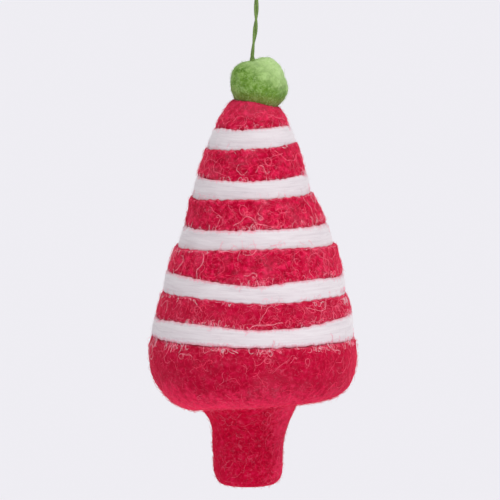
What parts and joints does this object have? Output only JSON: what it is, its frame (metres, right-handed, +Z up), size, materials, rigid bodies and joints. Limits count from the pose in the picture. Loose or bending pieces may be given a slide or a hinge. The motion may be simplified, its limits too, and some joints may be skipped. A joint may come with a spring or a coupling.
{
  "type": "felt tree ornament",
  "caption": "Hanging felted-wool tree ornament: swelling red cone with white roving rings, stubby trunk, green ball on the tip and a cord loop it swings and turns on.",
  "frame": {"origin": "the point at the top of the hanging loop that bears on the hook", "axes": "+Z up along the tree's axis from its trunk to its tip, +X to the right in the picture, +Y away from the viewer"},
  "size_m": [0.0718, 0.0718, 0.1971],
  "materials": {
    "red_felt": "needle-felted wool, matte, with loose pale fibres",
    "white_roving": "unspun wool roving, matte, fibres along the ring",
    "green_felt": "felted wool, matte",
    "green_cord": "thin spun cord, matte",
    "undyed_wool": "undyed wool batting"
  },
  "bodies": {
    "hanger": {"loop_bight": "green_cord"},
    "eye": {"loop_leg_front": "green_cord", "loop_leg_back": "green_cord"},
    "neck": {"cord_neck": "green_cord"},
    "ornament": {"cord_tail": "green_cord", "anchor_knot": "green_cord", "felt_ball": "green_felt", "body_cover": "red_felt", "body_core": "undyed_wool", "stripe_1": "white_roving", "stripe_2": "white_roving", "stripe_3": "white_roving", "stripe_4": "white_roving", "stripe_5": "white_roving", "trunk_cover": "red_felt", "trunk_core": "undyed_wool"}
  },
  "joints": [
    {"name": "side_swing", "type": "hinge", "parent": "hanger", "child": "eye", "pos_m": [0, 0, -0.0033], "axis": [0, 1, 0], "range_deg": [-60, 60]},
    {"name": "front_swing", "type": "hinge", "parent": "eye", "child": "neck", "pos_m": [0.0014, 0, -0.025], "axis": [1, 0, 0], "range_deg": [-60, 60]},
    {"name": "turn", "type": "hinge", "parent": "neck", "child": "ornament", "pos_m": [0, 0, -0.048], "axis": [0, 0, 1], "range_deg": [-180, 180]}
  ]
}
